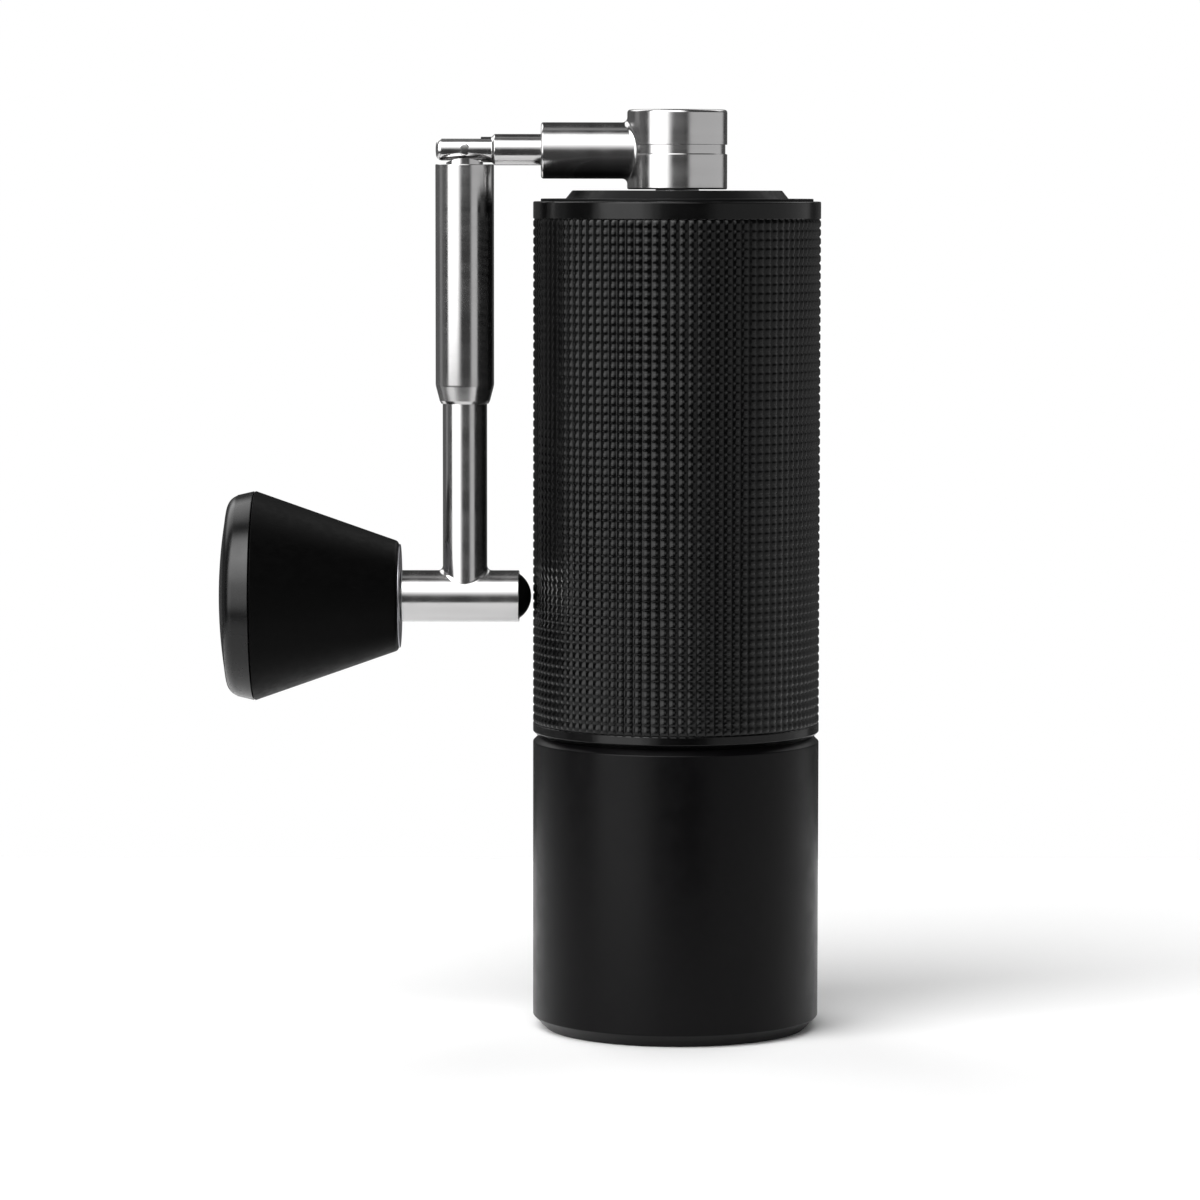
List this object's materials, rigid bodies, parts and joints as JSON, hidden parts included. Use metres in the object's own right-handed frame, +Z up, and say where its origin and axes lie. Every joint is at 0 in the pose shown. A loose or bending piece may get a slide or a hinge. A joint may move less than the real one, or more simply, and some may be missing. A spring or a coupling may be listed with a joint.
{
  "type": "hand crank coffee grinder",
  "caption": "Slim cylindrical hand coffee grinder with a cross-cut grip, screw-on catch cup, lid, conical burrs on a bearing shaft, and a folding steel crank with a cone knob.",
  "frame": {"origin": "centre of the catch cup's flat base, on the grinding axis", "axes": "+Z up along the grinding axis, -X towards the folded crank's arm and knob, Y across"},
  "size_m": [0.111, 0.053, 0.17],
  "materials": {
    "anodised_black": "satin black anodised, bead blasted",
    "moulded_black": "fine matte moulded",
    "knob_black": "satin, turned",
    "cap_black": "semi-gloss",
    "rubber_black": "matte",
    "crank_steel": "fine turned stainless, near polished",
    "inner_steel": "ground",
    "burr_steel": "machined",
    "brass": "turned"
  },
  "bodies": {
    "catch_cup": {"catch_cup": "anodised_black"},
    "grinder_body": {"body_shell": "anodised_black", "burr_carrier": "moulded_black", "outer_burr": "burr_steel", "burr_clamp_ring": "burr_steel", "clamp_screws": "inner_steel", "lower_bracket": "moulded_black", "lower_bearing_outer": "inner_steel", "lower_bearing_shields": "rubber_black", "carrier_circlip": "burr_steel", "upper_bracket": "moulded_black", "upper_bearing_outer": "inner_steel", "upper_bearing_shields": "rubber_black", "bracket_circlips": "burr_steel"},
    "lid": {"lid_cover": "moulded_black", "lid_gasket": "rubber_black"},
    "rotor": {"drive_shaft": "inner_steel", "shaft_clip": "burr_steel", "spring_washer": "inner_steel", "lower_bearing_inner": "inner_steel", "upper_bearing_inner": "inner_steel", "burr_spring": "inner_steel"},
    "lower_ball_set": {"lower_bearing_balls": "inner_steel"},
    "upper_ball_set": {"upper_bearing_balls": "inner_steel"},
    "moving_burr": {"inner_burr": "burr_steel", "click_plate": "inner_steel"},
    "dial": {"adjust_dial": "moulded_black", "dial_insert": "brass", "click_springs": "inner_steel", "click_balls": "inner_steel"},
    "crank": {"hub_boss": "crank_steel", "crank_arm": "crank_steel", "hinge_pin": "crank_steel"},
    "fold_link": {"link_rod": "crank_steel", "tee_bar": "crank_steel", "tee_bushes": "brass", "bumper": "rubber_black"},
    "sleeve": {"lock_sleeve": "crank_steel", "sleeve_o_ring": "rubber_black"},
    "knob": {"knob_axle": "inner_steel", "axle_clip": "burr_steel", "knob_end_disc": "burr_steel", "knob_body": "knob_black", "knob_nut": "inner_steel", "knob_cap": "cap_black"}
  },
  "joints": [
    {"name": "body_lift", "type": "slide", "parent": "catch_cup", "child": "grinder_body", "axis": [0, 0, 1], "range_m": [0, 0.03]},
    {"name": "crank_spin", "type": "hinge", "parent": "grinder_body", "child": "rotor", "pos_m": [0, 0, 0.15], "axis": [0, 0, 1], "continuous": true},
    {"name": "lower_balls_spin", "type": "hinge", "parent": "grinder_body", "child": "lower_ball_set", "pos_m": [0, 0, 0.0925], "axis": [0, 0, 1], "continuous": true},
    {"name": "upper_balls_spin", "type": "hinge", "parent": "grinder_body", "child": "upper_ball_set", "pos_m": [0, 0, 0.131], "axis": [0, 0, 1], "continuous": true},
    {"name": "lid_lift", "type": "slide", "parent": "grinder_body", "child": "lid", "axis": [0, 0, 1], "range_m": [0, 0.015]},
    {"name": "handle_lift", "type": "slide", "parent": "rotor", "child": "crank", "axis": [0, 0, 1], "range_m": [0, 0.03]},
    {"name": "crank_fold", "type": "hinge", "parent": "crank", "child": "fold_link", "pos_m": [-0.0391, 0, 0.16265], "axis": [0, 1, 0], "range_deg": [0, 90]},
    {"name": "sleeve_slide", "type": "slide", "parent": "fold_link", "child": "sleeve", "axis": [0, 0, -1], "range_m": [0, 0.0295]},
    {"name": "knob_spin", "type": "hinge", "parent": "fold_link", "child": "knob", "pos_m": [-0.05, 0, 0.0803], "axis": [1, 0, 0], "continuous": true},
    {"name": "burr_slide", "type": "slide", "parent": "rotor", "child": "moving_burr", "axis": [0, 0, 1], "range_m": [-0.0014, 0.00029], "deforming": ["burr_spring"]},
    {"name": "dial_turn", "type": "hinge", "parent": "moving_burr", "child": "dial", "pos_m": [0, 0, 0.055], "axis": [0, 0, 1], "range_deg": [-720, 150]}
  ],
  "couplings": [
    {"joint": "lower_balls_spin", "follows": "crank_spin", "ratio": 0.41667},
    {"joint": "upper_balls_spin", "follows": "crank_spin", "ratio": 0.41667},
    {"joint": "lid_lift", "follows": "handle_lift", "ratio": 0.5},
    {"joint": "dial_turn", "follows": "burr_slide", "rad_per_m": 8976}
  ]
}
